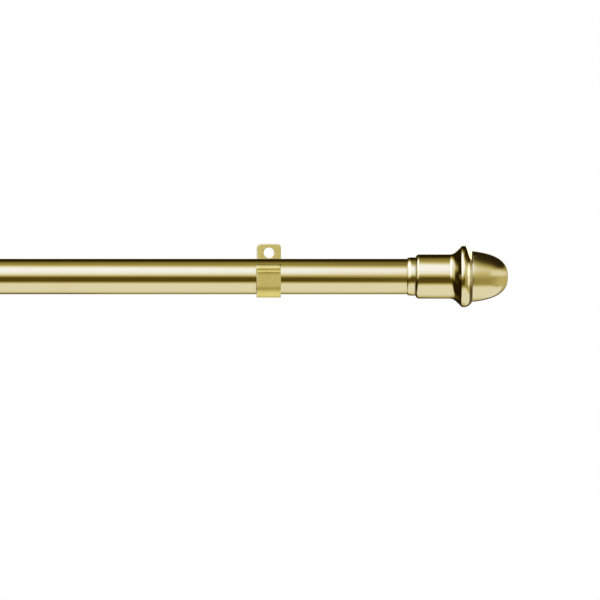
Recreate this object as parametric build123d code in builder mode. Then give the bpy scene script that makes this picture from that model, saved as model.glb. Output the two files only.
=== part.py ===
from build123d import *
from math import cos, radians, sin, tan
import os

# Cafe curtain rod: two telescoping tubes, a turned end piece on each, and two stamped brackets.
# Millimetres. +X runs along the rod to the right, +Z is up, and the wall is the plane y = 0, with the
# rod in front of it at negative y. The origin is the centre of the right bracket's two screw holes.

# Rod
outer_tube_diameter = 15.875
tube_wall = 0.5
tube_gap = 0.2925              # radial, between the two tubes
travel = 508.0                 # how far the inner tube pulls out
least_overlap = 100.0          # of the two tubes, fully pulled out
exposed_inner = 80.0           # inner tube in sight, as stored
end_gap = 22.7                 # between the glide and the right plug, as stored
seam_gap = 0.15                # butt seam of each rolled tube, on the wall side
neck_length = 5.0              # necked mouth of the outer tube
neck_taper = 1.0
mouth_round = 0.35
running_clearance = 0.08       # radial, between parts that slide
slip_clearance = 0.05          # radial, between parts that are pushed together

# End piece, from the collar's entry edge outwards
collar_wall = 0.6225
collar_length = 14.0
collar_nose = 1.6
cap_wall = 1.255               # around the collar
cap_start = 3.65
cap_round = 1.6
cove_start = 19.0
cove_radius = 3.8
cove_angle = 45.0
rim_rise = 3.835               # above the cap's cylinder
rim_round = 1.6
rim_land = 0.9
rim_back_round = 2.2
groove_width = 0.3
groove_depth = 0.75
web_start = 17.5
web_thickness = 2.2
cavity_wall = 2.315            # around the hollow behind the web
dome_seat = 29.0
dome_rise = 1.445              # of its base, above the cap's cylinder
dome_edge_round = 0.55
dome_height = 16.17
dome_lean = 6.0                # degrees, how fast the dome narrows at its base
dome_fullness = 15.0
dome_nose = 4.0
dome_wall = 1.3
spigot_setback = 2.46          # inside the dome's edge
spigot_length = 2.0
spigot_wall = 1.2
boss_diameter = 9.0
stud_diameter = 4.76
stud_length = 31.0
stud_bevel = 0.5
stud_depth = 9.0               # how far it goes into the dome's boss

# Tube plugs, glide and reducer
plug_length = 14.0
plug_flange = 1.0
plug_bevel = 0.8
glide_length = 14.0
glide_band = 4.0
glide_bore = 8.0
glide_bevel = 0.6
reducer_recess = 0.3

# Brackets
strip_width = 10.9
strip_thickness = 1.0
projection = 25.4              # wall to the rod's axis
plate_top = 14.7               # above the rod's axis
hole_diameter = 4.7
upper_hole = 10.75             # above the rod's axis
hole_spacing = 11.1
plate_corner = 1.7
floor_slope = 5.0              # degrees, the cradle's floor falls towards the front
back_bend = 2.5                # inside radius
front_bend = 4.0               # inside radius
lip_rise = 5.3                 # top of the rolled lip, above the rod's axis
lip_roll = 0.8                 # inside radius
lip_turn = 250.0               # degrees
seat_clearance = 0.1
strip_edge_round = 0.18
bracket_inset = 61.9           # bracket's middle to the collar's edge

# Worked out from the sizes above
outer_radius = outer_tube_diameter / 2
outer_bore = outer_radius - tube_wall
inner_radius = outer_bore - tube_gap
inner_bore = inner_radius - tube_wall
collar_bore = outer_radius + slip_clearance
collar_radius = collar_bore + collar_wall
cap_bore = collar_radius + slip_clearance
cap_radius = cap_bore + cap_wall
rim_radius = cap_radius + rim_rise
cavity_radius = cap_radius - cavity_wall
seat_radius = cap_radius + dome_rise
spigot_radius = seat_radius - spigot_setback
stud_radius = stud_diameter / 2
stud_bore = stud_radius + slip_clearance
tube_end = web_start - plug_flange
axis_height = -(upper_hole - hole_spacing / 2)
rest_span = exposed_inner + travel + least_overlap + glide_band + end_gap + plug_length - web_start
right_edge = bracket_inset
left_edge = right_edge - rest_span
outer_mouth = left_edge + exposed_inner
inner_end = outer_mouth + travel + least_overlap


def rod_plane(x, direction=1):
    """A sketch plane through the rod's axis: along it outwards, then up."""
    return Plane(
        origin=(x, -projection, axis_height),
        x_dir=(direction, 0, 0),
        z_dir=(0, -direction, 0),
    )


def rod_axis(plane):
    return Axis(plane.origin, plane.x_dir)


def cut_seam(start, length, radius):
    """The butt seam of a rolled tube: a slit along its back."""
    seam = Plane(origin=(start, -projection + radius, axis_height))
    with Locations(seam):
        Box(
            length,
            2 * tube_wall,
            seam_gap,
            align=(Align.MIN, Align.CENTER, Align.CENTER),
            mode=Mode.SUBTRACT,
        )


# Outer tube, with its mouth necked in to guide the inner tube
outer_length = right_edge + tube_end - outer_mouth
mouth_bore = inner_radius + running_clearance
mouth_radius = mouth_bore + tube_wall
tube_plane = rod_plane(outer_mouth)
with BuildPart() as outer_tube:
    with BuildSketch(tube_plane):
        with BuildLine():
            Polyline(
                (0, mouth_bore),
                (neck_length, mouth_bore),
                (neck_length + neck_taper, outer_bore),
                (outer_length, outer_bore),
                (outer_length, outer_radius),
                (neck_length + neck_taper, outer_radius),
                (neck_length, mouth_radius),
                (mouth_round, mouth_radius),
            )
            RadiusArc((mouth_round, mouth_radius), (0, mouth_radius - mouth_round), -mouth_round)
            Line((0, mouth_radius - mouth_round), (0, mouth_bore))
        make_face()
    revolve(axis=rod_axis(tube_plane))
    cut_seam(outer_mouth, outer_length, (outer_radius + outer_bore) / 2)
outer_tube.part.label = "outer_tube"

# Inner tube
inner_start = left_edge - tube_end
inner_length = inner_end - inner_start
tube_plane = rod_plane(inner_start)
with BuildPart() as inner_tube:
    with BuildSketch(tube_plane):
        with Locations((0, inner_bore)):
            Rectangle(inner_length, tube_wall, align=(Align.MIN, Align.MIN))
    revolve(axis=rod_axis(tube_plane))
    cut_seam(inner_start, inner_length, (inner_radius + inner_bore) / 2)
inner_tube.part.label = "inner_tube"

# Nylon glide, pushed into the inner tube's hidden end and running in the outer tube
glide_plane = rod_plane(inner_end)
glide_band_radius = outer_bore - running_clearance
glide_body_radius = inner_bore - slip_clearance
with BuildPart() as inner_glide:
    with BuildSketch(glide_plane):
        with BuildLine():
            Polyline(
                (glide_band, glide_bore / 2),
                (glide_band, glide_band_radius - glide_bevel),
                (glide_band - glide_bevel, glide_band_radius),
                (0, glide_band_radius),
                (0, glide_body_radius),
                (glide_band - glide_length + glide_bevel, glide_body_radius),
                (glide_band - glide_length, glide_body_radius - glide_bevel),
                (glide_band - glide_length, glide_bore / 2),
                close=True,
            )
        make_face()
    revolve(axis=rod_axis(glide_plane))
inner_glide.part.label = "inner_glide"


def make_collar(plane):
    """The thin sleeve over the tube, with a rounded entry edge."""
    nose_rise = collar_radius - collar_bore
    with BuildPart() as collar:
        with BuildSketch(plane):
            with BuildLine():
                EllipticalCenterArc(
                    (collar_nose, collar_bore),
                    collar_nose,
                    nose_rise,
                    start_angle=90,
                    arc_size=90,
                )
                Polyline(
                    (0, collar_bore),
                    (collar_length, collar_bore),
                    (collar_length, collar_radius),
                    (collar_nose, collar_radius),
                )
            make_face()
        revolve(axis=rod_axis(plane))
    return collar.part


def make_cap(plane):
    """The stepped socket: cylinder, cove, flared rim, and the seat for the dome."""
    bend = radians(cove_angle)
    round_rise = cap_radius - cap_bore
    seat_face = dome_seat - groove_width
    with BuildPart() as cap:
        with BuildSketch(plane):
            with BuildLine():
                EllipticalCenterArc(
                    (cap_start + cap_round, cap_bore),
                    cap_round,
                    round_rise,
                    start_angle=90,
                    arc_size=90,
                )
                body = Line((cap_start + cap_round, cap_radius), (cove_start, cap_radius))
                cove = JernArc(body @ 1, (1, 0), cove_radius, cove_angle)
                flare_rise = rim_radius - rim_round * (1 - cos(bend)) - (cove @ 1).Y
                flare = Line(cove @ 1, cove @ 1 + Vector(flare_rise / tan(bend), flare_rise))
                crest = JernArc(flare @ 1, flare % 1, rim_round, -cove_angle)
                land = Line(crest @ 1, crest @ 1 + Vector(rim_land, 0))
                back = JernArc(land @ 1, (1, 0), rim_back_round, -cove_angle)
                slope_run = seat_face - (back @ 1).X
                slope = Line(back @ 1, back @ 1 + Vector(slope_run, -slope_run * tan(bend)))
                Polyline(
                    slope @ 1,
                    (seat_face, seat_radius - groove_depth),
                    (dome_seat, seat_radius - groove_depth),
                    (dome_seat, spigot_radius + slip_clearance),
                    (dome_seat - spigot_length - slip_clearance, spigot_radius + slip_clearance),
                    (dome_seat - spigot_length - slip_clearance, cavity_radius),
                    (web_start + web_thickness, cavity_radius),
                    (web_start + web_thickness, stud_bore),
                    (web_start, stud_bore),
                    (web_start, collar_bore),
                    (collar_length, collar_bore),
                    (collar_length, cap_bore),
                    (cap_start, cap_bore),
                )
            make_face()
        revolve(axis=rod_axis(plane))
    return cap.part


def dome_outline(start, radius, end):
    """The dome's curve, from its base to its blunt nose on the axis."""
    lean = radians(dome_lean)
    reach = dome_fullness * (end - start) / (dome_height - dome_edge_round)
    nose = dome_nose * radius / seat_radius
    return Bezier(
        (start, radius),
        (start + reach * cos(lean), radius - reach * sin(lean)),
        (end, nose),
        (end, 0),
    )


def make_dome(plane):
    """The bullet-shaped end: a shell with a spigot into the cap and a boss for the stud."""
    tip = dome_seat + dome_height
    edge = dome_seat + dome_edge_round
    inner_tip = tip - 2 * dome_wall
    boss_end = dome_seat + stud_depth
    with BuildPart() as dome:
        with BuildSketch(plane):
            with BuildLine():
                RadiusArc((dome_seat, seat_radius - dome_edge_round), (edge, seat_radius), dome_edge_round)
                dome_outline(edge, seat_radius, tip)
                Polyline((tip, 0), (dome_seat, 0), (dome_seat, seat_radius - dome_edge_round))
            make_face()
            with BuildLine():
                dome_outline(dome_seat, spigot_radius, inner_tip)
                Polyline((inner_tip, 0), (dome_seat, 0), (dome_seat, spigot_radius))
            make_face(mode=Mode.SUBTRACT)
            with Locations((dome_seat - spigot_length, spigot_radius - spigot_wall)):
                Rectangle(2 * spigot_length, spigot_wall, align=(Align.MIN, Align.MIN))
            with Locations((dome_seat, 0)):
                Rectangle(tip - dome_wall - dome_seat, boss_diameter / 2, align=(Align.MIN, Align.MIN))
                Rectangle(stud_depth, stud_bore, align=(Align.MIN, Align.MIN), mode=Mode.SUBTRACT)
        revolve(axis=rod_axis(plane))
    return dome.part


def make_stud(plane):
    """The stud from the dome's boss, through the cap's web, into the tube plug."""
    stud_end = dome_seat + stud_depth
    with BuildPart() as stud:
        with BuildSketch(plane):
            with BuildLine():
                Polyline(
                    (stud_end, 0),
                    (stud_end, stud_radius - stud_bevel),
                    (stud_end - stud_bevel, stud_radius),
                    (stud_end - stud_length + stud_bevel, stud_radius),
                    (stud_end - stud_length, stud_radius - stud_bevel),
                    (stud_end - stud_length, 0),
                    close=True,
                )
            make_face()
        revolve(axis=rod_axis(plane))
    return stud.part


def make_plug(plane, bore):
    """The flanged plug in a tube's end."""
    body_radius = bore - slip_clearance
    with BuildPart() as plug:
        with BuildSketch(plane):
            with BuildLine():
                Polyline(
                    (web_start, stud_bore),
                    (web_start, outer_radius),
                    (tube_end, outer_radius),
                    (tube_end, body_radius),
                    (web_start - plug_length + plug_bevel, body_radius),
                    (web_start - plug_length, body_radius - plug_bevel),
                    (web_start - plug_length, stud_bore),
                    close=True,
                )
            make_face()
        revolve(axis=rod_axis(plane))
    return plug.part


def make_bracket(x, tube_radius):
    """A bracket bent from one strip: wall plate, sloping cradle, front flat, and rolled lip."""
    slope = radians(floor_slope)
    height = axis_height + (outer_radius - tube_radius) / cos(slope)
    side_plane = Plane(origin=(x, 0, height), x_dir=(0, -1, 0), z_dir=(-1, 0, 0))
    floor_offset = outer_radius + seat_clearance + strip_thickness
    front_face = projection + floor_offset
    floor_back = -floor_offset / cos(slope) + projection * tan(slope)
    back_radius = back_bend + strip_thickness
    front_radius = front_bend + strip_thickness
    back_run = back_radius * tan(radians(90 - floor_slope) / 2)
    front_run = front_radius * tan(radians(90 + floor_slope) / 2)
    floor_front = floor_back - front_face * tan(slope)
    lip_centre = lip_rise - lip_roll - strip_thickness
    with BuildPart() as bracket:
        with BuildSketch(side_plane):
            with BuildLine():
                plate = Line((0, plate_top), (0, floor_back + back_run))
                heel = JernArc(plate @ 1, (0, -1), back_radius, 90 - floor_slope)
                toe_start = Vector(front_face, floor_front) - front_run * Vector(cos(slope), -sin(slope))
                floor = Line(heel @ 1, toe_start)
                toe = JernArc(floor @ 1, floor % 1, front_radius, 90 + floor_slope)
                front = Line(toe @ 1, (front_face, lip_centre))
                JernArc(front @ 1, (0, 1), lip_roll, -lip_turn)
                offset(amount=strip_thickness, side=Side.LEFT)
            make_face()
        extrude(amount=strip_width / 2, both=True)
        plate_ends = bracket.edges().filter_by(Axis.Y).group_by(Axis.Z)[-1]
        fillet(plate_ends, plate_corner)
        sides = bracket.faces().filter_by(Axis.X).sort_by(Axis.X)
        fillet(sides[0].edges() + sides[-1].edges(), strip_edge_round)
        with Locations((x, 0, height + upper_hole), (x, 0, height + upper_hole - hole_spacing)):
            Cylinder(
                hole_diameter / 2,
                3 * strip_thickness,
                rotation=(90, 0, 0),
                mode=Mode.SUBTRACT,
            )
    return bracket.part


pieces = [outer_tube.part, inner_tube.part, inner_glide.part]
ends = (("right", right_edge, 1, outer_radius, outer_bore), ("left", left_edge, -1, inner_radius, inner_bore))
for side, edge_x, direction, tube_radius, tube_bore in ends:
    end_plane = rod_plane(edge_x, direction)
    built = {
        "collar": make_collar(end_plane),
        "cap": make_cap(end_plane),
        "dome": make_dome(end_plane),
        "stud": make_stud(end_plane),
        "plug": make_plug(end_plane, tube_bore),
        "bracket": make_bracket(edge_x - direction * bracket_inset, tube_radius),
    }
    for name, piece in built.items():
        piece.label = side + "_" + name
        pieces.append(piece)

# Sleeve that brings the inner tube up to the left collar's bore
reducer_plane = rod_plane(left_edge, -1)
with BuildPart() as left_reducer:
    with BuildSketch(reducer_plane):
        with Locations((reducer_recess, inner_radius + slip_clearance)):
            Rectangle(
                tube_end - reducer_recess,
                collar_bore - inner_radius - 2 * slip_clearance,
                align=(Align.MIN, Align.MIN),
            )
    revolve(axis=rod_axis(reducer_plane))
left_reducer.part.label = "left_reducer"
pieces.append(left_reducer.part)

os.makedirs("parts", exist_ok=True)
for piece in pieces:
    export_step(piece, "parts/" + piece.label + ".step")
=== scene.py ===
from math import ceil, cos, degrees, pi, radians, sin, tan

import bmesh
import bpy
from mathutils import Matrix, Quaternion, Vector


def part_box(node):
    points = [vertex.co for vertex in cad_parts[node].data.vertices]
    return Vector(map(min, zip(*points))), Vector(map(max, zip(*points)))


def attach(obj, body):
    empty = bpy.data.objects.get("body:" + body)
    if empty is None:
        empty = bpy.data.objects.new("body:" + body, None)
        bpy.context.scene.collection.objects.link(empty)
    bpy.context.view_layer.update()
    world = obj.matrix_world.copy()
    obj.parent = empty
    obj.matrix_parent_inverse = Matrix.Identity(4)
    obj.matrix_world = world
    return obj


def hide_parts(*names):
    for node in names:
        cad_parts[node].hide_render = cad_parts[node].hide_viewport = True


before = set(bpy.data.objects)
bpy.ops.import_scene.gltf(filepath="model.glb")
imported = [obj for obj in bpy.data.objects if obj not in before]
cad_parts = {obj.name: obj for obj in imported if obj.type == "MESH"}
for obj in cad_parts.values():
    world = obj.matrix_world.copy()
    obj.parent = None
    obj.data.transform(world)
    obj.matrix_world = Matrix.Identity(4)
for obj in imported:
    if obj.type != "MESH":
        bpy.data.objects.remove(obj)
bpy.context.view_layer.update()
print("frame loaded:", len(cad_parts), "nodes")

mm = 0.001

# the rod's axis and its two ends, read from the frame
collarLow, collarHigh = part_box("right_collar")
axisY = (collarLow.y + collarHigh.y) / 2
axisZ = (collarLow.z + collarHigh.z) / 2
rightEdge = collarLow.x
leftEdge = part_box("left_collar")[1].x
spanMiddle = (rightEdge + leftEdge) / 2
spanHalf = (rightEdge - leftEdge) / 2

rod = {
    "outerRadius": 7.9375 * mm,
    "tubeWall": 0.5 * mm,
    "tubeGap": 0.2925 * mm,  # between the two tubes, but not at the mouth
    "slip": 0.05 * mm,  # round a piece that is pushed on
    "running": 0.08 * mm,  # round the inner tube in the mouth
    "seam": 0.15 * mm,  # open along the back of each tube
    "segments": 160,  # round the rod
}
innerRadius = rod["outerRadius"] - rod["tubeWall"] - rod["tubeGap"]


class Wire:
    # one output of a node; an expression on wires adds Math nodes
    def __init__(self, bench, socket):
        self.bench = bench
        self.socket = socket

    def side(self, name):
        return Wire(self.bench, self.socket.node.outputs[name])

    def __add__(self, other):
        return self.bench.maths("ADD", self, other)

    def __radd__(self, other):
        return self.bench.maths("ADD", other, self)

    def __sub__(self, other):
        return self.bench.maths("SUBTRACT", self, other)

    def __rsub__(self, other):
        return self.bench.maths("SUBTRACT", other, self)

    def __mul__(self, other):
        return self.bench.maths("MULTIPLY", self, other)

    def __rmul__(self, other):
        return self.bench.maths("MULTIPLY", other, self)

    def __truediv__(self, other):
        return self.bench.maths("DIVIDE", self, other)

    def __rtruediv__(self, other):
        return self.bench.maths("DIVIDE", other, self)

    def __neg__(self):
        return self.bench.maths("MULTIPLY", self, -1)


class Bench:
    # a node tree being wired up, emptied first
    def __init__(self, owner):
        owner.use_nodes = True
        self.tree = owner.node_tree
        self.tree.nodes.clear()

    def node(self, kind, settings=None, values=None, out=0):
        # settings go on the node first, then values or wires go to its sockets
        made = self.tree.nodes.new("ShaderNode" + kind)
        for name, value in (settings or {}).items():
            if name == "stops":
                self.setStops(made.color_ramp, value)
            else:
                setattr(made, name, value)
        for name, value in (values or {}).items():
            if isinstance(value, Wire):
                self.tree.links.new(value.socket, made.inputs[name])
            else:
                made.inputs[name].default_value = value
        return Wire(self, made.outputs[out]) if len(made.outputs) else made

    def setStops(self, ramp, stops):
        while len(ramp.elements) < len(stops):
            ramp.elements.new(1)
        for element, (place, colour) in zip(ramp.elements, stops):
            element.position = place
            element.color = (*colour, 1)

    def maths(self, operation, *terms):
        return self.node("Math", {"operation": operation}, dict(enumerate(terms)))

    def smooth(self, value, low, high):
        # 0 below low, 1 above high, eased between
        sockets = {"Value": value, "From Min": low, "From Max": high}
        return self.node("MapRange", {"interpolation_type": "SMOOTHSTEP"}, sockets)

    def between(self, value, rise, full, fall, end):
        # eased up to 1 from rise to full, and back to 0 from fall to end
        return self.smooth(value, rise, full) * (1 - self.smooth(value, fall, end))

    def blend(self, amount, first, second):
        # mixes two colours
        settings = {"data_type": "RGBA"}
        return self.node("Mix", settings, {0: amount, 6: first, 7: second}, out=2)

    def noise(self, vector, scale, detail=2.0, roughness=0.5):
        # scale counts to the metre; three of them stretch it along X, Y and Z
        if isinstance(scale, tuple):
            vector = self.node("VectorMath", {"operation": "MULTIPLY"}, {0: vector, 1: scale})
            scale = 1
        sockets = {"Vector": vector, "Scale": scale, "Detail": detail, "Roughness": roughness}
        return self.node("TexNoise", {"noise_dimensions": "3D"}, sockets)

    def bump(self, height, distance, strength=1.0, under=None):
        sockets = {"Height": height, "Distance": distance, "Strength": strength}
        if under:
            sockets["Normal"] = under
        return self.node("Bump", None, sockets)


def startMaterial(name):
    material = bpy.data.materials.new(name)
    bench = Bench(material)
    place = bench.node("TexCoord", out="Object")
    return material, bench, place


def endMaterial(bench, sockets):
    shader = bench.node("BsdfPrincipled", None, sockets)
    bench.node("OutputMaterial", None, {"Surface": shader})


def endMetal(bench, tone, rough, bumped, lacquer=None):
    sockets = {"Base Color": tone, "Metallic": 1.0, "Roughness": rough, "Normal": bumped}
    endMaterial(bench, sockets | (lacquer or {}))


def rodPlace(bench, place):
    # along: mm out from a collar's edge; away: mm out from the axis; turn: round it, 0 at the wall
    split = bench.node("SeparateXYZ", None, {"Vector": place})
    along = (bench.maths("ABSOLUTE", split - spanMiddle) - spanHalf) / mm
    back = (split.side("Y") - axisY) / mm
    up = (split.side("Z") - axisZ) / mm
    away = bench.maths("SQRT", back * back + up * up)
    return along, away, bench.maths("ARCTAN2", up, back)


def latheRings(bench, along, away, perMm, roughness):
    # the marks of turning: noise that doesn't change round the axis
    place = bench.node("CombineXYZ", None, {"X": along * perMm, "Y": away * perMm})
    return bench.noise(place, 1, 3, roughness)


def makeMarks(bench, place, finish):
    # a finish's noises by name, each raised to whole between the two values at which it shows
    marks = {name: bench.noise(place, *spec) for name, spec in finish["noises"].items()}
    for name, limits in finish["shows"].items():
        marks[name] = bench.smooth(marks[name], *limits)
    return marks


def roughened(finish, marks):
    # a finish's roughness, with what each mark adds to it
    rough = finish["roughness"]
    for name, share in finish["roughAdds"].items():
        rough = rough + marks[name] * share
    return rough


brass = {
    "tone": (0.887, 0.789, 0.434, 1),
    "deep": (0.83, 0.70, 0.335, 1),
    # a paler brass, painted on the dome's edge as a highlight
    "paleHighlight": (0.93, 0.84, 0.50, 1),
    "tarnish": (0.11, 0.066, 0.014, 1),
    "lacquer": {"Coat Weight": 0.2, "Coat Roughness": 0.04, "Coat IOR": 1.5},
    "thinLacquer": {"Coat Weight": 0.1, "Coat Roughness": 0.2, "Coat IOR": 1.5},
}


tubeFinish = {
    "noises": {  # scale, detail, roughness
        "cloud": (38, 3),
        "lines": ((14, 2600, 2600), 3, 0.65),
        "smudges": ((26, 70, 70), 4, 0.6),
        "scratches": ((70, 5200, 5200), 1, 0.4),
        "waves": ((9, 60, 60), 2, 0.4),
    },
    "shows": {"cloud": (0.42, 0.8), "smudges": (0.56, 0.74), "scratches": (0.735, 0.76)},
    "tint": {"cloud": 0.35, "collarShade": 0.55, "scratches": 0.05},
    "collarShade": (-1.1, 0.0),  # along: painted shade, deeper in tone up to the collar's edge
    "roughness": 0.06,
    "roughAdds": {"lines": 0.03, "smudges": 0.04, "scratches": 0.05},
    "waveBump": (0.05 * mm,),
    "lineBump": (0.0008 * mm, 0.5),
    "scratchDepth": 0.3,  # of the lines' height
}


def makeTubeBrass():
    # drawn tube, buffed along its length and lacquered
    material, bench, place = startMaterial("tubeBrass")
    f = tubeFinish
    tint = f["tint"]
    marks = makeMarks(bench, place, f)
    # painted shade: the tube's tone deepens over its last mm into the collar
    collarShade = bench.smooth(rodPlace(bench, place)[0], *f["collarShade"])
    shade = collarShade * tint["collarShade"] + marks["cloud"] * tint["cloud"]
    tone = bench.blend(shade, brass["tone"], brass["deep"])
    tone = bench.blend(marks["scratches"] * tint["scratches"], tone, brass["tarnish"])
    height = marks["lines"] - marks["scratches"] * f["scratchDepth"]
    bumped = bench.bump(marks["waves"], *f["waveBump"])
    bumped = bench.bump(height, *f["lineBump"], bumped)
    endMetal(bench, tone, roughened(f, marks), bumped, brass["lacquer"])
    return material


turnedFinish = {
    "noises": {"specks": (2100, 2, 0.6), "cloud": (95, 3)},
    "shows": {"specks": (0.25, 0.6)},
    "deepened": (0.45, 0.8),  # where the cloud deepens the tone
    "dulled": (0.55, 0.75),  # where it dulls the polish
    "rings": (9, 0.6),  # to the mm, roughness
    "collarLine": (3.1, 3.8, 4.0, 4.5),  # along: painted shade where the collar goes into the cap
    "lowStep": (9.0, 9.6),  # away: no higher than this on the cap's step
    # along: painted shade at the rim's foot, down to the groove
    "rimFoot": (27.4, 28.3),
    "coveShade": (19.6, 21.2, 22.0, 24.0),
    "below": (0.15, 0.5),  # how far under the axis the painted shade is whole, as a share of the radius
    "topPaintedShade": 0.36,  # share of it on the upper side
    "tint": {"cloud": 0.35, "coveShade": 0.1, "paintedShade": 0.9, "specks": 0.1},
    "roughness": 0.06,
    "roughAdds": {"rings": 0.03, "paintedShade": 0.3, "dulled": 0.03},
    "ringBump": (0.0012 * mm, 0.6),
}


def makeTurnedBrass():
    # collar and cap: turned, polished on the lathe, with painted shade where the collar goes into
    # the cap, at the rim's foot and in the cove, heavier under the axis
    material, bench, place = startMaterial("turnedBrass")
    f = turnedFinish
    tint = f["tint"]
    marks = makeMarks(bench, place, f)
    along, away, turn = rodPlace(bench, place)
    marks["rings"] = latheRings(bench, along, away, *f["rings"])
    marks["dulled"] = bench.smooth(marks["cloud"], *f["dulled"])
    # painted shade in the recesses, heavier under the axis; it also roughens the polish there
    collarLine = bench.between(along, *f["collarLine"]) * (1 - bench.smooth(away, *f["lowStep"]))
    paintedShade = collarLine + bench.smooth(along, *f["rimFoot"])
    below = bench.smooth(-bench.maths("SINE", turn), *f["below"])
    paintedShade = paintedShade * (f["topPaintedShade"] + below * (1 - f["topPaintedShade"]))
    paintedShade = paintedShade + bench.between(along, *f["coveShade"]) * tint["coveShade"]
    marks["paintedShade"] = bench.maths("MINIMUM", paintedShade, 1.0)
    deepened = bench.smooth(marks["cloud"], *f["deepened"]) * tint["cloud"]
    darkened = marks["paintedShade"] * (tint["paintedShade"] + marks["specks"] * tint["specks"])
    tone = bench.blend(deepened, brass["tone"], brass["deep"])
    tone = bench.blend(darkened, tone, brass["tarnish"])
    bumped = bench.bump(marks["rings"], *f["ringBump"])
    endMetal(bench, tone, roughened(f, marks), bumped, brass["lacquer"])
    return material


domeFinish = {
    "noises": {"grain": (3200, 2, 0.6), "cloud": (120, 3)},
    "shows": {"cloud": (0.4, 0.8)},
    "rings": (7, 0.65),  # to the mm, roughness
    "edgeLine": (29.4, 29.7),  # along: where the brushed, rougher edge with its painted highlight ends
    "topShadeFrom": (0.42, 0.6),  # how high up the edge the painted shade begins, as a share of its radius
    "tint": {"cloud": 0.4, "topShade": 0.85},
    "roughness": 0.14,
    "roughAdds": {"rings": 0.05, "grain": 0.03, "edgeLine": 0.15},
    "ringBump": (0.0014 * mm, 0.6),
    "grainDepth": 0.4,  # of the rings' height
}


def makeDomeBrass():
    # the dome's softer, satin polish, with its base edge left brushed: rougher, paler as a painted
    # highlight, and darker on top as painted shade
    material, bench, place = startMaterial("domeBrass")
    f = domeFinish
    tint = f["tint"]
    marks = makeMarks(bench, place, f)
    along, away, turn = rodPlace(bench, place)
    marks["rings"] = latheRings(bench, along, away, *f["rings"])
    marks["edgeLine"] = 1 - bench.smooth(along, *f["edgeLine"])
    topShade = marks["edgeLine"] * bench.smooth(bench.maths("SINE", turn), *f["topShadeFrom"])
    tone = bench.blend(marks["cloud"] * tint["cloud"], brass["tone"], brass["deep"])
    # painted highlight: a paler tone on the edge; painted shade: darker on its upper side
    tone = bench.blend(marks["edgeLine"], tone, brass["paleHighlight"])
    tone = bench.blend(topShade * tint["topShade"], tone, brass["tarnish"])
    bumped = bench.bump(marks["rings"] + marks["grain"] * f["grainDepth"], *f["ringBump"])
    endMetal(bench, tone, roughened(f, marks), bumped, brass["thinLacquer"])
    return material


stampedFinish = {
    "tone": (0.97, 0.84, 0.25, 1),
    "worn": (0.98, 0.89, 0.52, 1),
    "dull": (0.90, 0.72, 0.19, 1),
    "noises": {
        "grain": ((5200, 90, 90), 3, 0.7),
        "cloud": (160, 3),
        "pits": (2600, 1, 0.5),
        "wear": (900, 2),
    },
    "shows": {"cloud": (0.4, 0.75), "pits": (0.69, 0.74)},
    "wearNoise": 0.4,  # what the noise adds to the edges' wear
    "wearShows": (0.75, 1.2),
    "tint": {"cloud": 0.55, "grain": 0.18, "wear": 0.75, "pits": 0.5},
    "roughness": 0.42,
    "roughAdds": {"grain": 0.1, "wear": -0.14, "pits": 0.2},
    "grainBump": (0.006 * mm, 0.5),
}


def makeStampedBrass():
    # bracket strip: rolled grain along the strip, finely pitted, brighter on its edges
    material, bench, place = startMaterial("stampedBrass")
    f = stampedFinish
    marks = makeMarks(bench, place, f)
    edge = bench.node("Attribute", {"attribute_name": "edgeWear"}, out="Fac")
    marks["wear"] = bench.smooth(edge + marks["wear"] * f["wearNoise"], *f["wearShows"])
    tinted = {name: marks[name] * share for name, share in f["tint"].items()}
    tone = bench.blend(tinted["cloud"], f["tone"], f["dull"])
    tone = bench.blend(tinted["grain"], tone, f["worn"])
    tone = bench.blend(tinted["wear"], tone, f["worn"])
    tone = bench.blend(tinted["pits"], tone, brass["tarnish"])
    bumped = bench.bump(marks["grain"] - marks["pits"], *f["grainBump"])
    endMetal(bench, tone, roughened(f, marks), bumped)
    return material


steelFinish = {
    "grey": (0.52, 0.53, 0.55, 1),
    "yellowed": (0.66, 0.65, 0.6, 1),
    "rootShade": (0.2, 0.19, 0.17, 1),
    "noises": {"cloud": (420, 4, 0.6)},
    "shows": {},
    "pitch": 1.058,  # mm, 24 threads to the inch
    "rootShadeShows": (-1, -0.55),
    "threadBump": (0.3 * mm, 0.9),
    "roughness": 0.3,
    "roughAdds": {"cloud": 0.15},
}


def makePlatedSteel():
    # zinc-plated stud with its rolled thread, and painted shade in the thread's roots
    material, bench, place = startMaterial("platedSteel")
    f = steelFinish
    marks = makeMarks(bench, place, f)
    along, _, turn = rodPlace(bench, place)
    thread = bench.maths("SINE", along * (2 * pi / f["pitch"]) + turn)
    tone = bench.blend(marks["cloud"], f["grey"], f["yellowed"])
    # painted shade in the thread's roots
    tone = bench.blend(bench.smooth(thread, *f["rootShadeShows"]), f["rootShade"], tone)
    endMetal(bench, tone, roughened(f, marks), bench.bump(thread, *f["threadBump"]))
    return material


nylonFinish = {
    "milky": (0.78, 0.75, 0.66, 1),
    "pale": (0.86, 0.84, 0.77, 1),
    "noises": {"flow": ((60, 260, 260), 4, 0.6), "skin": (2800, 3, 0.6)},
    "shows": {"flow": (0.35, 0.7)},
    "roughness": 0.42,
    "roughAdds": {"skin": 0.16},
    "skinBump": (0.01 * mm, 0.5),
    "depth": {"Subsurface Weight": 0.15, "Subsurface Scale": 1 * mm},
}


def makeNylon():
    # natural moulded nylon: milky, with faint flow marks
    material, bench, place = startMaterial("nylon")
    f = nylonFinish
    marks = makeMarks(bench, place, f)
    endMaterial(bench, {
        "Base Color": bench.blend(marks["flow"], f["milky"], f["pale"]),
        "Roughness": roughened(f, marks),
        "Normal": bench.bump(marks["skin"], *f["skinBump"]),
        **f["depth"],
    })
    return material


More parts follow.
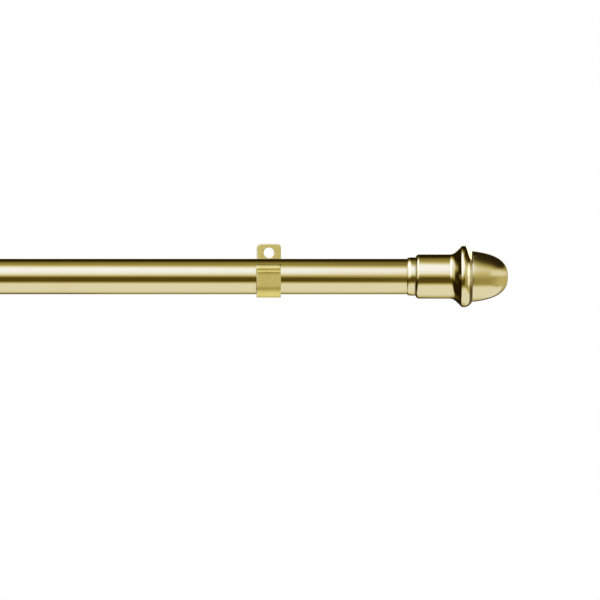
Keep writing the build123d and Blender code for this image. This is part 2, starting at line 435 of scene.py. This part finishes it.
finishes = {
    "tube": makeTubeBrass(),
    "turned": makeTurnedBrass(),
    "dome": makeDomeBrass(),
    "stamped": makeStampedBrass(),
    "steel": makePlatedSteel(),
    "nylon": makeNylon(),
}
print("materials made:", ", ".join(finishes))


def arc(centre, radius, start, end, step=5.0, rise=None):
    # points of a round stretch from one angle to another, in degrees; rise makes it an ellipse
    count = max(2, ceil(abs(end - start) / step))
    angles = [radians(start + (end - start) * i / count) for i in range(count + 1)]
    return [(centre[0] + radius * cos(a), centre[1] + (rise or radius) * sin(a)) for a in angles]


corner = {
    "steps": 4,
    "reach": 0.4,  # at most this share of each side that meets there
    "onAxis": 1e-9,  # a point nearer than this to the axis stays
}


def softenCorners(outline, radius, least=25.0):
    # rounds each corner of a closed outline that turns by more than least degrees
    soft = []
    for i, here in enumerate(outline):
        point = Vector(here)
        before = Vector(outline[i - 1]) - point
        after = Vector(outline[(i + 1) % len(outline)]) - point
        turn = pi - before.angle(after)
        if degrees(turn) < least or here[1] < corner["onAxis"]:
            soft.append(here)
            continue
        side = min(before.length, after.length) * corner["reach"]
        reach = min(radius * tan(turn / 2), side)
        first = point + before.normalized() * reach
        last = point + after.normalized() * reach
        for k in range(corner["steps"] + 1):
            t = k / corner["steps"]
            bent = first * (1 - t) ** 2 + point * 2 * t * (1 - t) + last * t ** 2
            soft.append((bent.x, bent.y))
    return soft


def finishMesh(name, bm, body, node, finish, sharp=32.0):
    bmesh.ops.recalc_face_normals(bm, faces=bm.faces[:])
    mesh = bpy.data.meshes.new(name)
    bm.to_mesh(mesh)
    bm.free()
    mesh.shade_smooth()
    mesh.set_sharp_from_angle(angle=radians(sharp))
    mesh.materials.append(finishes[finish])
    piece = bpy.data.objects.new(name, mesh)
    bpy.context.scene.collection.objects.link(piece)
    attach(piece, body)
    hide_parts(node)


def spin(bm, outline, edgeX, direction, slit=0.0):
    # turns a closed outline of (along, away) points about the rod's axis
    # slit leaves a gap that wide at the back
    segments = rod["segments"]
    columns = segments + 1 if slit else segments
    rings = []
    for along, away in outline:
        x = edgeX + direction * along
        if away < corner["onAxis"]:
            rings.append([bm.verts.new((x, axisY, axisZ))] * columns)
            continue
        half = slit / 2 / away
        ring = []
        for i in range(columns):
            angle = half + (2 * pi - 2 * half) * i / segments
            ring.append(bm.verts.new((x, axisY + away * cos(angle), axisZ + away * sin(angle))))
        rings.append(ring)
    for k, ring in enumerate(rings):
        after = rings[(k + 1) % len(rings)]
        for i in range(segments):
            j = (i + 1) % columns
            corners = [ring[i], ring[j], after[j], after[i]]
            corners = [v for n, v in enumerate(corners) if v not in corners[:n]]
            if len(corners) > 2:
                bm.faces.new(corners)
    if slit:
        bm.faces.new([ring[0] for ring in rings])
        bm.faces.new([ring[-1] for ring in reversed(rings)])


outerTube = {
    "neck": 5 * mm,
    "taper": 1 * mm,
    "taperRound": 1.2 * mm,
    "taperLeast": 12,  # degrees, the gentlest corner that is rounded
    "mouthRound": 0.35 * mm,
    "mouthStep": 15,
}


def makeOuterTube():
    low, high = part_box("outer_tube")
    length = high.x - low.x
    radius = rod["outerRadius"]
    bore = radius - rod["tubeWall"]
    mouthBore = innerRadius + rod["running"]
    mouth = mouthBore + rod["tubeWall"]
    neck, taper, mouthRound = (outerTube[key] for key in ("neck", "taper", "mouthRound"))
    outline = [(0, mouthBore), (neck, mouthBore), (neck + taper, bore), (length, bore)]
    outline += [(length, radius), (neck + taper, radius), (neck, mouth)]
    outline += arc((mouthRound, mouth - mouthRound), mouthRound, 90, 180, outerTube["mouthStep"])
    outline = softenCorners(outline, outerTube["taperRound"], outerTube["taperLeast"])
    bm = bmesh.new()
    spin(bm, outline, low.x, 1, rod["seam"])
    finishMesh("outerTubePolished", bm, "outer", "outer_tube", "tube")


innerTube = {
    "edgeBreak": 0.12 * mm,
}


def makeInnerTube():
    low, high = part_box("inner_tube")
    length = high.x - low.x
    bore = innerRadius - rod["tubeWall"]
    outline = [(0, bore), (length, bore), (length, innerRadius), (0, innerRadius)]
    bm = bmesh.new()
    spin(bm, softenCorners(outline, innerTube["edgeBreak"]), low.x, 1, rod["seam"])
    finishMesh("innerTubePolished", bm, "inner", "inner_tube", "tube")


makeOuterTube()
makeInnerTube()
print("tubes made")


endPiece = {
    "collarWall": 0.6225 * mm,
    "collarLength": 14 * mm,
    "collarNose": 2.1 * mm,
    "capWall": 1.255 * mm,
    "capStart": 3.85 * mm,
    "capRound": 1.6 * mm,
    "coveStart": 19 * mm,
    "coveRadius": 3.8 * mm,
    "flare": (41.0, 48.0),  # degrees, where it leaves the cove and where it meets the crest
    "rimRise": 3.835 * mm,
    "rimRound": 0.5 * mm,
    "rimLean": 14.0,  # degrees, where the tight round goes over into the wide one
    "rimBackRound": 4.0 * mm,
    "rimBack": 46.5,  # degrees
    "foot": 0.35 * mm,  # concave, where the rim's back comes down to the groove
    "footRise": 0.35,  # of the foot, halfway along it
    "grooveWidth": 0.06 * mm,
    "grooveDepth": 0.2 * mm,
    "webStart": 17.5 * mm,
    "webThickness": 2.2 * mm,
    "cavityWall": 2.315 * mm,
    "domeSeat": 29 * mm,
    "domeRise": 1.445 * mm,
    "domeEdge": 0.35 * mm,
    "domeHeight": 16.17 * mm,
    "domeLean": 6.0,  # degrees, at its base
    "domeFullness": 15 * mm,
    "domeNose": 4 * mm,
    "domeWall": 1.3 * mm,
    "spigotSetback": 2.46 * mm,
    "spigotLength": 2 * mm,
    "spigotWall": 1.2 * mm,
    "boss": 4.5 * mm,
    "studBore": 2.43 * mm,
    "studDepth": 9 * mm,
    "edgeBreak": 0.12 * mm,
    "roundSteps": {"nose": 6, "cove": 2.5, "flare": 1, "crest": 4, "rimBack": 2.5, "dome": 10},
    "domePoints": 72,
    "hollowPoints": 40,
}
collarBore = rod["outerRadius"] + rod["slip"]
collarRadius = collarBore + endPiece["collarWall"]
capBore = collarRadius + rod["slip"]
capRadius = capBore + endPiece["capWall"]
rimRadius = capRadius + endPiece["rimRise"]
seatRadius = capRadius + endPiece["domeRise"]
spigotRadius = seatRadius - endPiece["spigotSetback"]


def collarOutline():
    e = endPiece
    nose = (e["collarNose"], collarBore)
    step = e["roundSteps"]["nose"]
    outline = arc(nose, e["collarNose"], 180, 90, step, rise=collarRadius - collarBore)
    return outline + [(e["collarLength"], collarRadius), (e["collarLength"], collarBore)]


def capOutside():
    # the rounded step, cylinder, cove, flare, crest and rim's back, each from the last one's end
    e = endPiece
    steps = e["roundSteps"]
    stepRound = (e["capStart"] + e["capRound"], capBore)
    outline = arc(stepRound, e["capRound"], 180, 90, steps["nose"], rise=e["capWall"])
    shallow, steep = e["flare"]
    cove = (e["coveStart"], capRadius + e["coveRadius"])
    outline += arc(cove, e["coveRadius"], -90, shallow - 90, steps["cove"])
    coveX, coveR = outline[-1]
    lean = radians(e["rimLean"])
    wideStart = rimRadius - e["rimBackRound"] * (1 - cos(lean))
    crestStart = wideStart - e["rimRound"] * (cos(lean) - cos(radians(steep)))
    hollow = (crestStart - coveR) / (cos(radians(shallow)) - cos(radians(steep)))
    flare = (coveX - hollow * sin(radians(shallow)), coveR + hollow * cos(radians(shallow)))
    outline += arc(flare, hollow, shallow - 90, steep - 90, steps["flare"])[1:]
    crestX = outline[-1][0] + e["rimRound"] * sin(radians(steep))
    crest = (crestX, wideStart - e["rimRound"] * cos(lean))
    outline += arc(crest, e["rimRound"], 90 + steep, 90 + e["rimLean"], steps["crest"])[1:]
    wideX = outline[-1][0] + e["rimBackRound"] * sin(lean)
    wide = (wideX, rimRadius - e["rimBackRound"])
    ends = (90 + e["rimLean"], 90 - e["rimBack"])
    return outline + arc(wide, e["rimBackRound"], *ends, steps["rimBack"])[1:]


def capOutline():
    e = endPiece
    outline = capOutside()
    backX, backR = outline[-1]
    slope = tan(radians(e["rimBack"]))
    seatFace = e["domeSeat"] - e["grooveWidth"]
    footR = backR - (seatFace - backX) * slope
    grooveR = seatRadius - e["grooveDepth"]
    socket = spigotRadius + rod["slip"]
    socketEnd = e["domeSeat"] - e["spigotLength"] - rod["slip"]
    cavity = capRadius - e["cavityWall"]
    webEnd = e["webStart"] + e["webThickness"]
    return outline + [
        (seatFace - e["foot"], footR + e["foot"] * slope),
        (seatFace - e["foot"] / 2, footR + e["foot"] * e["footRise"]),
        (seatFace, footR),
        (seatFace, grooveR),
        (e["domeSeat"], grooveR),
        (e["domeSeat"], socket),
        (socketEnd, socket),
        (socketEnd, cavity),
        (webEnd, cavity),
        (webEnd, e["studBore"]),
        (e["webStart"], e["studBore"]),
        (e["webStart"], collarBore),
        (e["collarLength"], collarBore),
        (e["collarLength"], capBore),
    ]


def domeCurve(start, radius, end, count):
    # the dome's line from its base to its blunt nose on the axis
    e = endPiece
    lean = radians(e["domeLean"])
    reach = e["domeFullness"] * (end - start) / (e["domeHeight"] - e["domeEdge"])
    nose = e["domeNose"] * radius / seatRadius
    handles = (
        Vector((start, radius)),
        Vector((start + reach * cos(lean), radius - reach * sin(lean))),
        Vector((end, nose)),
        Vector((end, 0)),
    )
    points = []
    for i in range(count + 1):
        t = i / count
        shares = ((1 - t) ** 3, 3 * t * (1 - t) ** 2, 3 * t ** 2 * (1 - t), t ** 3)
        point = sum((h * share for h, share in zip(handles, shares)), Vector((0, 0)))
        points.append((point.x, max(point.y, 0)))
    return points


def domeOutline():
    e = endPiece
    seat = e["domeSeat"]
    tip = seat + e["domeHeight"]
    edge = seat + e["domeEdge"]
    hollow = domeCurve(seat, spigotRadius, tip - 2 * e["domeWall"], e["hollowPoints"])
    hollow = [p for p in hollow if p[1] > e["boss"] and p[0] > seat + e["spigotLength"]]
    spigotBore = spigotRadius - e["spigotWall"]
    edgeCentre = (edge, seatRadius - e["domeEdge"])
    outline = arc(edgeCentre, e["domeEdge"], 180, 90, e["roundSteps"]["dome"])
    outline += domeCurve(edge, seatRadius, tip, e["domePoints"])[1:]
    outline += [
        (seat + e["studDepth"], 0),
        (seat + e["studDepth"], e["studBore"]),
        (seat, e["studBore"]),
        (seat, e["boss"]),
        (hollow[-1][0], e["boss"]),
    ]
    outline += list(reversed(hollow))
    outline += [
        (seat + e["spigotLength"], spigotBore),
        (seat - e["spigotLength"], spigotBore),
        (seat - e["spigotLength"], spigotRadius),
        (seat, spigotRadius),
    ]
    return outline


turnedPieces = {
    "Collar": ("_collar", collarOutline, "polished_brass", "turned"),
    "Cap": ("_cap", capOutline, "polished_brass", "turned"),
    "Dome": ("_dome", domeOutline, "satin_brass", "dome"),
}
rodEnds = (("right", rightEdge, 1, "outer"), ("left", leftEdge, -1, "inner"))
for side, edgeX, direction, body in rodEnds:
    for title, (ending, shape, slotName, finish) in turnedPieces.items():
        bm = bmesh.new()
        spin(bm, softenCorners(shape(), endPiece["edgeBreak"]), edgeX, direction)
        finishMesh(side + title, bm, body, side + ending, finish)
print("end pieces made")


bracket = {
    "width": 10.9 * mm,
    "thickness": 1.0 * mm,
    "plateTop": 14.7 * mm,  # above the rod's axis
    "hole": 2.35 * mm,
    "upperHole": 10.75 * mm,
    "holeSpacing": 11.1 * mm,
    "lowerMargin": 3.2 * mm,  # flat kept under the lower hole
    "corner": 1.7 * mm,
    "slope": 5.0,  # degrees, of the floor under the rod
    "backBend": 2.5 * mm,
    "frontBend": 4.0 * mm,
    "lipRise": 5.3 * mm,
    "lipRoll": 0.8 * mm,
    "lipTurn": 250.0,  # degrees
    "clearance": 0.1 * mm,
    "edgeRound": 0.18 * mm,
    "edgeSteps": 3,
    "edgeSharp": 60,  # degrees: edges this sharp are rounded
    "smoothUnder": 40.0,  # degrees: edges gentler than this are shaded smooth
    "merge": 0.001 * mm,
    "sideSteps": 12,  # across the strip, and on each side of a hole's square
    "holeRings": (0, 0.12, 0.3, 0.6, 1),  # from the hole out to its square
    "bendStep": 5,  # degrees
    "runStep": 2.5 * mm,
}


def bracketPath():
    # the strip's outer face from the plate's top: straight runs and bends, left turns positive
    b = bracket
    slope = radians(b["slope"])
    offset = rod["outerRadius"] + b["clearance"] + b["thickness"]
    face = -axisY + offset
    floorBack = -offset / cos(slope) - axisY * tan(slope)
    backRadius = b["backBend"] + b["thickness"]
    frontRadius = b["frontBend"] + b["thickness"]
    backRun = backRadius * tan(radians(90 - b["slope"]) / 2)
    frontRun = frontRadius * tan(radians(90 + b["slope"]) / 2)
    floorFront = floorBack - face * tan(slope)
    lipCentre = b["lipRise"] - b["lipRoll"] - b["thickness"]
    return [
        (b["plateTop"] - floorBack - backRun, 0),
        (backRadius, 90 - b["slope"]),
        (face / cos(slope) - backRun - frontRun, 0),
        (frontRadius, 90 + b["slope"]),
        (lipCentre - floorFront - frontRun, 0),
        (b["lipRoll"], -b["lipTurn"]),
    ]


def pathLength(size, turn):
    return abs(radians(turn)) * size if turn else size


def bendStrip(path, s, t):
    # where a point s along the flat blank and t off its face lands: out from the wall, and up
    place = Vector((0, bracket["plateTop"]))
    heading = -pi / 2
    for size, turn in path:
        length = pathLength(size, turn)
        last = (size, turn) == path[-1]
        share = s / length if last or s < length else 1
        forward = Vector((cos(heading), sin(heading)))
        left = Vector((-forward.y, forward.x))
        if turn:
            sign = 1 if turn > 0 else -1
            centre = place + left * size * sign
            heading += radians(turn) * share
            left = Vector((-sin(heading), cos(heading)))
            place = centre - left * size * sign
        else:
            place = place + forward * length * share
        if share < 1 or last:
            return place + left * t
        s -= length


def holeSquare(bm, low, high, centre, cornerRadius):
    # quads from a round hole out to the strip's outline, between low and high along the strip
    half = bracket["width"] / 2
    steps = bracket["sideSteps"]
    corners = [(half, low), (-half, low), (-half, high), (half, high)]
    border = []
    for k, (x0, s0) in enumerate(corners):
        x1, s1 = corners[(k + 1) % 4]
        for i in range(steps):
            border.append(Vector((x0 + (x1 - x0) * i / steps, s0 + (s1 - s0) * i / steps)))
    if cornerRadius:
        middle = Vector((half - cornerRadius, low + cornerRadius))
        for point in border:
            beside = Vector((abs(point.x) - middle.x, middle.y - point.y))
            if min(beside) > 0:  # pulled in to the rounded corner
                ray = beside.normalized() * cornerRadius
                point.x = (middle.x + ray.x) * (1 if point.x > 0 else -1)
                point.y = middle.y - ray.y
    count = len(border)
    rings = []
    for share in bracket["holeRings"]:
        ring = []
        for i, outer in enumerate(border):
            angle = -pi / 4 - 2 * pi * i / count
            inner = Vector((bracket["hole"] * cos(angle), centre + bracket["hole"] * sin(angle)))
            spot = inner.lerp(outer, share)
            ring.append(bm.verts.new((spot.x, spot.y, 0)))
        rings.append(ring)
    for inner, outer in zip(rings, rings[1:]):
        for i in range(count):
            j = (i + 1) % count
            bm.faces.new((inner[i], inner[j], outer[j], outer[i]))


def bracketRows(path, start):
    # places along the strip for rows of vertices: close together in the bends
    rows = [start]
    run = 0
    for size, turn in path:
        length = pathLength(size, turn)
        count = ceil(abs(turn) / bracket["bendStep"] if turn else length / bracket["runStep"])
        rows += [run + length * (i + 1) / count for i in range(count)]
        run += length
    return [row for row in rows if row >= start]


def makeBracket(side, body, tubeRadius):
    b = bracket
    path = bracketPath()
    middleX = sum(end.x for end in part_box(side + "_bracket")) / 2
    lift = axisZ + (rod["outerRadius"] - tubeRadius) / cos(radians(b["slope"]))
    upper = b["plateTop"] - b["upperHole"]
    lower = upper + b["holeSpacing"]
    between = (upper + lower) / 2
    flatEnd = lower + b["lowerMargin"]
    bm = bmesh.new()
    holeSquare(bm, 0, between, upper, b["corner"])
    holeSquare(bm, between, flatEnd, lower, 0)
    steps = b["sideSteps"]
    columns = [b["width"] * (i / steps - 0.5) for i in range(steps + 1)]
    grid = [[bm.verts.new((x, s, 0)) for x in columns] for s in bracketRows(path, flatEnd)]
    for row, below in zip(grid, grid[1:]):
        for i in range(steps):
            bm.faces.new((row[i], row[i + 1], below[i + 1], below[i]))
    bmesh.ops.remove_doubles(bm, verts=bm.verts[:], dist=b["merge"])
    made = bmesh.ops.extrude_face_region(bm, geom=bm.faces[:], use_keep_orig=True)["geom"]
    for vert in made:
        if isinstance(vert, bmesh.types.BMVert):
            vert.co.z = b["thickness"]
    bmesh.ops.recalc_face_normals(bm, faces=bm.faces[:])
    sharp = radians(b["edgeSharp"])
    sharpEdges = [edge for edge in bm.edges if edge.calc_face_angle(0) > sharp]
    wear = bm.verts.layers.float.new("edgeWear")
    rounded = bmesh.ops.bevel(
        bm, geom=sharpEdges, offset=b["edgeRound"], segments=b["edgeSteps"],
        profile=0.5, affect="EDGES",
    )
    for vert in rounded["verts"]:
        vert[wear] = 1.0
    for vert in bm.verts:
        out, up = bendStrip(path, vert.co.y, vert.co.z)
        vert.co = Vector((middleX + vert.co.x, -out, lift + up))
    name, node = side + "BracketStamped", side + "_bracket"
    finishMesh(name, bm, body, node, "stamped", b["smoothUnder"])


makeBracket("right", "outer", rod["outerRadius"])
makeBracket("left", "inner", innerRadius)
print("brackets made")


hidden = {
    "right_stud": "steel",
    "left_stud": "steel",
    "right_plug": "nylon",
    "left_plug": "nylon",
    "inner_glide": "nylon",
    "left_reducer": "nylon",
}
for node, finish in hidden.items():
    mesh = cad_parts[node].data
    mesh.materials.clear()
    mesh.materials.append(finishes[finish])
print("hidden pieces finished")


def lightRays(bench):
    # the camera's rays, and those that are mirrored or pass through
    rays = bench.node("LightPath", out="Is Camera Ray")
    glossy, through = (rays.side(name) for name in ("Is Glossy Ray", "Is Transmission Ray"))
    return rays, bench.maths("MAXIMUM", glossy, through)


def roomWays(bench, split):
    # where a direction points, in degrees; ahead is its share toward the front
    ahead = -split.side("Y")
    up = split.side("Z")
    right = bench.maths("ARCSINE", split) * degrees(1)
    return {
        "ahead": ahead,
        "right": right,
        "left": -right,
        "height": bench.maths("ARCSINE", up) * degrees(1),
        "lift": bench.maths("ARCTAN2", up, ahead) * degrees(1),  # 0 ahead, 90 up, 180 behind
        "turn": bench.maths("ARCTAN2", split, ahead) * degrees(1),  # 0 ahead, 90 right
    }


keyLight = {
    "lowEdge": (-14, 18),  # degrees, as all pairs here: where it begins and where it is whole
    "lowEdgeRight": (-46, 12),  # what the right side adds to it
    "rightSide": (3, 20),
    "sinkLeft": (2, 12, 7),  # from, to, and how far its low edge sinks there
    "lowShare": 0.86,  # the rest comes in higher up
    "upper": (8, 40),
    "topEdge": (52, 106),
    "leanRight": (18, 1.2),  # its top edge comes in to the right: how far out, and the share
    "leanLeft": (0, 8, -38),  # and goes back to the left: from, to, and how far
    "leanFarLeft": (20, 34, 10),
    "sideEdge": (62, 84),
    "nearLeft": (4, 14, 24, 36),  # a brighter stretch: where it comes in and goes out again
    "nearLeftTop": (80, 104),
    "nearLeftGain": (0.25, 1.4),  # how much brighter, and how far it goes out
    "behind": (98, 118, 0.35),  # from, to, and what it loses
    "rightLoss": 0.24,
    "rightEdge": (44, 66),
}


def keyLevel(bench, way):
    # a big soft light over the front that reaches round to the left
    k = keyLight
    right, left, height, lift = (way[name] for name in ("right", "left", "height", "lift"))

    def over(value, low, high, amount):
        return bench.smooth(value, low, high) * amount

    aside = bench.smooth(right, *k["rightSide"])
    lowFrom, lowTo = (edge + aside * more for edge, more in zip(k["lowEdge"], k["lowEdgeRight"]))
    low = bench.smooth(height + over(left, *k["sinkLeft"]), lowFrom, lowTo) * k["lowShare"]
    low = low + bench.smooth(height, *k["upper"]) * (1 - k["lowShare"])
    reach, share = k["leanRight"]
    lean = bench.maths("MINIMUM", bench.maths("MAXIMUM", right, 0), reach) * share
    lean = lean + over(left, *k["leanLeft"]) + over(left, *k["leanFarLeft"])
    top = 1 - bench.smooth(lift + lean, *k["topEdge"])
    backward = bench.maths("MAXIMUM", -way["ahead"], 0) * 90
    wide = 1 - bench.smooth(backward - right, *k["sideEdge"])
    gain, loss = k["nearLeftGain"]
    near = bench.smooth(left, *k["nearLeft"][:2]) * (1 - over(left, *k["nearLeft"][2:], loss))
    wide = wide * (1 + near * (1 - bench.smooth(lift, *k["nearLeftTop"])) * gain)
    wide = wide * (1 - over(lift, *k["behind"])) * (1 - aside * k["rightLoss"])
    return low * top * wide * (1 - bench.smooth(right, *k["rightEdge"]))


cards = {
    "sideLow": (-12, 8),
    "sideHigh": (22, 46),
    "sideDrop": (70, 0.3),  # past this turn its top sinks by this share
    "sideTurns": (20, 44, 144, 160),
    "stripTurns": (58, 74, 86, 96),
    "stripHeights": (-28, -14, 0, 10),
    "fillTurns": (3, 17, 140, 158),
    "fillHeights": (-44, -34, 8, 26),
    "fillFar": (30, 80),
    "fillLevels": (0.34, 0.2),  # near, and what the far side adds
    "backAhead": (0.9, 0.965),
    "backHeights": (-6, 3, 12, 20),
    "overheadLifts": (60, 80, 86, 128),
    "overheadWidth": (3, 12),
}


def cardLevels(bench, way):
    # a tall pale card on the right with a strip and a fill under it, a low one behind the rod
    # and a dim one overhead
    c = cards
    height, turn = way["height"], way["turn"]
    dropFrom, dropShare = c["sideDrop"]
    drop = bench.maths("MAXIMUM", turn - dropFrom, 0) * dropShare
    side = bench.smooth(height, *c["sideLow"]) * (1 - bench.smooth(height + drop, *c["sideHigh"]))
    near, more = c["fillLevels"]
    fill = bench.between(turn, *c["fillTurns"]) * (near + bench.smooth(turn, *c["fillFar"]) * more)
    behind = bench.smooth(-way["ahead"], *c["backAhead"])
    width = 1 - bench.smooth(bench.maths("ABSOLUTE", way["right"]), *c["overheadWidth"])
    return {
        "side": side * bench.between(turn, *c["sideTurns"]),
        "strip": bench.between(turn, *c["stripTurns"]) * bench.between(height, *c["stripHeights"]),
        "fill": fill * bench.between(height, *c["fillHeights"]),
        "back": behind * bench.between(height, *c["backHeights"]),
        "overhead": bench.between(way["lift"], *c["overheadLifts"]) * width,
    }


paleTable = {
    "edge": (25, 52),
    "edgeBehind": (3, -16),  # what the side behind adds to it
    "behindTurns": (85, 105),
    "dimLifts": (106, 142),
    "dimRight": (3, 15),
    "dimShare": 0.35,
    "leftEdge": (34, 46),
    "leftAhead": (-0.9, -0.5),
}


def tableLevel(bench, way):
    # under the rod, dimmer behind on the left and gone at the far left
    t = paleTable
    beyond = bench.smooth(way["turn"], *t["behindTurns"])
    low, high = (edge + beyond * more for edge, more in zip(t["edge"], t["edgeBehind"]))
    dim = bench.smooth(-way["lift"], *t["dimLifts"])
    dim = dim * (1 - bench.smooth(way["right"], *t["dimRight"]))
    gone = bench.smooth(way["left"], *t["leftEdge"]) * bench.smooth(way["ahead"], *t["leftAhead"])
    return bench.smooth(-way["height"], low, high) * (1 - dim * t["dimShare"]) * (1 - gone)


studio = {
    "levels": {
        "key": 1.0,
        "side": 0.8,
        "strip": 0.55,
        "fill": 1.0,
        "table": 0.81,
        "back": 0.7,
        "overhead": 0.33,
    },
    "shadeAhead": (-0.2, 0.5),
    "shadeLeft": (30, 60),
    "shadeLevel": 0.09,
    "fullLevel": 0.78,  # where a level of 1 comes on the ramp
    "stops": (
        (0.0, (0.016, 0.009, 0.0006)),
        (0.08, (0.105, 0.076, 0.013)),
        (0.27, (0.345, 0.298, 0.115)),
        (0.468, (0.60, 0.54, 0.325)),
        (0.624, (0.80, 0.80, 0.83)),
        (0.78, (1.04, 1.13, 1.78)),
        (1.0, (1.3, 1.4125, 2.225)),
    ),
    "soft": (0.62, 0.62, 0.62, 1),  # on what doesn't mirror
    "white": (1, 1, 1, 1),
    "whiteBehind": (0.992, 0.999),
}


def makeRoom():
    # what the brass mirrors: the front light, the cards, the table, and shade between them
    world = bpy.data.worlds.new("studioRoom")
    bpy.context.scene.world = world
    bench = Bench(world)
    split = bench.node("SeparateXYZ", None, {"Vector": bench.node("TexCoord", out="Generated")})
    way = roomWays(bench, split)
    shade = bench.smooth(way["ahead"], *studio["shadeAhead"])
    shade = shade * (1 - bench.smooth(-way["turn"], *studio["shadeLeft"]))
    tone = shade * studio["shadeLevel"]
    parts = cardLevels(bench, way)
    parts["key"] = keyLevel(bench, way)
    parts["table"] = tableLevel(bench, way)
    for name, level in studio["levels"].items():
        tone = bench.maths("MAXIMUM", tone, parts[name] * level)
    ramp = {"Fac": tone * studio["fullLevel"]}
    room = bench.node("ValToRGB", {"stops": studio["stops"]}, ramp)
    rays, mirrored = lightRays(bench)
    behind = bench.smooth(split.side("Y"), *studio["whiteBehind"])
    shown = bench.blend(mirrored, studio["soft"], room)
    shown = bench.blend(bench.maths("MAXIMUM", rays, mirrored * behind), shown, studio["white"])
    background = bench.node("Background", None, {"Color": shown, "Strength": 1.0})
    bench.node("OutputWorld", None, {"Surface": background})


paleFloor = {
    "height": -0.255,
    "width": 8.0,
    "tone": (0.82, 0.81, 0.80, 1),
    "runsOut": (0.85, 1.5),  # how far out it begins to go white, and is white
}


def makeFloor():
    bm = bmesh.new()
    bmesh.ops.create_grid(bm, x_segments=2, y_segments=2, size=paleFloor["width"] / 2)
    mesh = bpy.data.meshes.new("floor")
    bm.to_mesh(mesh)
    bm.free()
    floor = bpy.data.objects.new("floor", mesh)
    floor.location = (spanMiddle, 0, paleFloor["height"])
    floor.visible_glossy = False  # the room holds the table that the brass mirrors
    floor.visible_shadow = False
    bpy.context.scene.collection.objects.link(floor)
    material = bpy.data.materials.new("floorPale")
    mesh.materials.append(material)
    bench = Bench(material)
    place = bench.node("TexCoord", out="Object")
    reach = bench.node("VectorMath", {"operation": "LENGTH"}, {0: place}, out="Value")
    white = bench.maths("MAXIMUM", *lightRays(bench))
    white = white * bench.smooth(reach, *paleFloor["runsOut"])
    pale = bench.node("BsdfDiffuse", None, {"Color": paleFloor["tone"]})
    glow = bench.node("Emission", None, {"Color": studio["white"], "Strength": 1.0})
    whole = bench.node("MixShader", None, {0: white, 1: pale, 2: glow})
    bench.node("OutputMaterial", None, {"Surface": whole})


def addLamp(name, spec, aim):
    light = bpy.data.lights.new(name, "AREA")
    light.shape = spec["shape"]
    light.size, light.size_y = spec["sizes"]
    light.energy = spec["power"]
    light.color = spec["tint"]
    shown = bpy.data.objects.new(name, light)
    shown.location = spec["place"]
    faced = (Vector(spec["place"]) - aim).to_track_quat("Z", "Y")
    shown.rotation_mode = "QUATERNION"
    shown.rotation_quaternion = faced @ Quaternion((0, 0, 1), radians(spec["roll"]))
    shown.visible_camera = False
    bpy.context.scene.collection.objects.link(shown)
    return shown


softLamp = {
    "shape": "RECTANGLE",
    "place": (-0.45, -0.9, 1.3),
    "sizes": (2.2, 1.1),
    "power": 46.0,
    "roll": 0.0,
    "tint": (1, 1, 1),
}
rimLamps = {
    "rimLamp": {
        "shape": "ELLIPSE",
        "place": (1.08, 1.43, 0.94),  # behind on the right
        "sizes": (2.2, 1.15),
        "power": 13.0,
        "roll": -31.0,
        "tint": (1, 1, 1),
    },
    "bandLamp": {
        "shape": "ELLIPSE",
        "place": (1.475, -0.59, 0.13),  # on the right, a little in front
        "sizes": (1.15, 1.95),
        "power": 4.9,
        "roll": -12.0,
        "tint": (0.57, 0.65, 1.0),
    },
}


def makeLamps():
    soft = addLamp("softLamp", softLamp, Vector((spanMiddle, -0.1, paleFloor["height"])))
    soft.visible_glossy = False  # the room holds the light that the brass mirrors
    caps = bpy.data.collections.new("caps")  # the other lamps glance off the caps' rims only
    for name in ("rightCap", "leftCap"):
        caps.objects.link(bpy.data.objects[name])
    seat = Vector((rightEdge + endPiece["domeSeat"], axisY, axisZ))
    for name, spec in rimLamps.items():
        addLamp(name, spec, seat).light_linking.receiver_collection = caps


makeRoom()
makeFloor()
makeLamps()
print("studio made")


lens = {
    "distance": 5.0,  # in front of the rod's axis
    "aimX": 14.0 * mm,
    "below": 10.53 * mm,  # under the rod's axis
    "sensor": 36.0,
    "framed": 0.2686,  # width seen at the rod
    "clip": (0.1, 100),
}


def makeCamera():
    data = bpy.data.cameras.new("camera")
    data.sensor_width = lens["sensor"]
    data.lens = lens["sensor"] * lens["distance"] / lens["framed"]
    data.clip_start, data.clip_end = lens["clip"]
    camera = bpy.data.objects.new("camera", data)
    camera.location = (lens["aimX"], axisY - lens["distance"], axisZ - lens["below"])
    camera.rotation_euler = (pi / 2, 0, 0)
    bpy.context.scene.collection.objects.link(camera)
    bpy.context.scene.camera = camera


makeCamera()
bpy.context.scene.view_settings.view_transform = "Standard"
print("camera placed")
